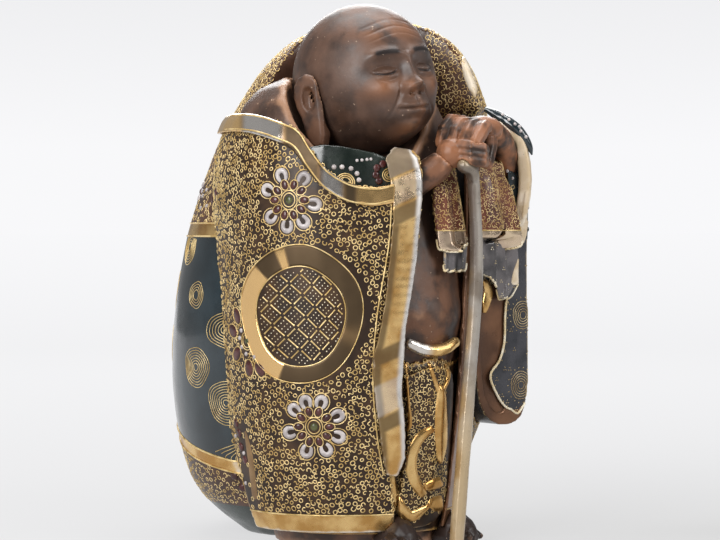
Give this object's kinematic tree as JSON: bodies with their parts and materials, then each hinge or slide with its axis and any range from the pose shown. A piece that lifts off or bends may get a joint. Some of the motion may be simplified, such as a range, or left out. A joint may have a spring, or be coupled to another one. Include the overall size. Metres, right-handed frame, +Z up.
{
  "type": "earthenware figurine",
  "caption": "Gilded and enamelled earthenware figure of a stout bald monk leaning on a staff, with a large sack on the back; a free-standing shelf ornament.",
  "frame": {"origin": "middle of the footprint of the whole figure, on the table", "axes": "+Z up, the figure faces -Y, +X is the figure's left"},
  "size_m": [0.1702, 0.1892, 0.2659],
  "materials": {
    "sack_glaze": "glossy blue-black glaze on earthenware",
    "skin_glaze": "satin brown biscuit",
    "brocade_glaze": "brown glaze with raised gilt slip",
    "gilt": "worn gilt lustre over glaze",
    "dark_glaze": "dark green-black glaze",
    "sleeve_glaze": "grey-blue glaze with gilt lines",
    "red_brown_glaze": "red-brown glaze with gilt scrolls",
    "blue_glaze": "blue-grey glaze with gilt dots",
    "staff_glaze": "pale crazed glaze with worn gilding"
  },
  "bodies": {
    "root": {"sack": "sack_glaze", "torso": "skin_glaze", "skirt": "brocade_glaze", "skirt_flap": "brocade_glaze", "waist_roll": "gilt", "robe_right": "brocade_glaze", "robe_left": "brocade_glaze", "lapel": "gilt", "neck_band": "gilt", "under_collar": "dark_glaze", "head": "skin_glaze", "right_ear": "skin_glaze", "left_ear": "skin_glaze", "right_forearm": "skin_glaze", "right_hand": "skin_glaze", "left_forearm": "skin_glaze", "left_hand": "skin_glaze", "left_sleeve": "sleeve_glaze", "left_cuff": "gilt", "right_inner_cuff": "red_brown_glaze", "left_inner_cuff": "red_brown_glaze", "right_frill": "blue_glaze", "left_frill": "blue_glaze", "staff": "staff_glaze", "right_foot": "skin_glaze", "left_foot": "skin_glaze"}
  },
  "joints": []
}
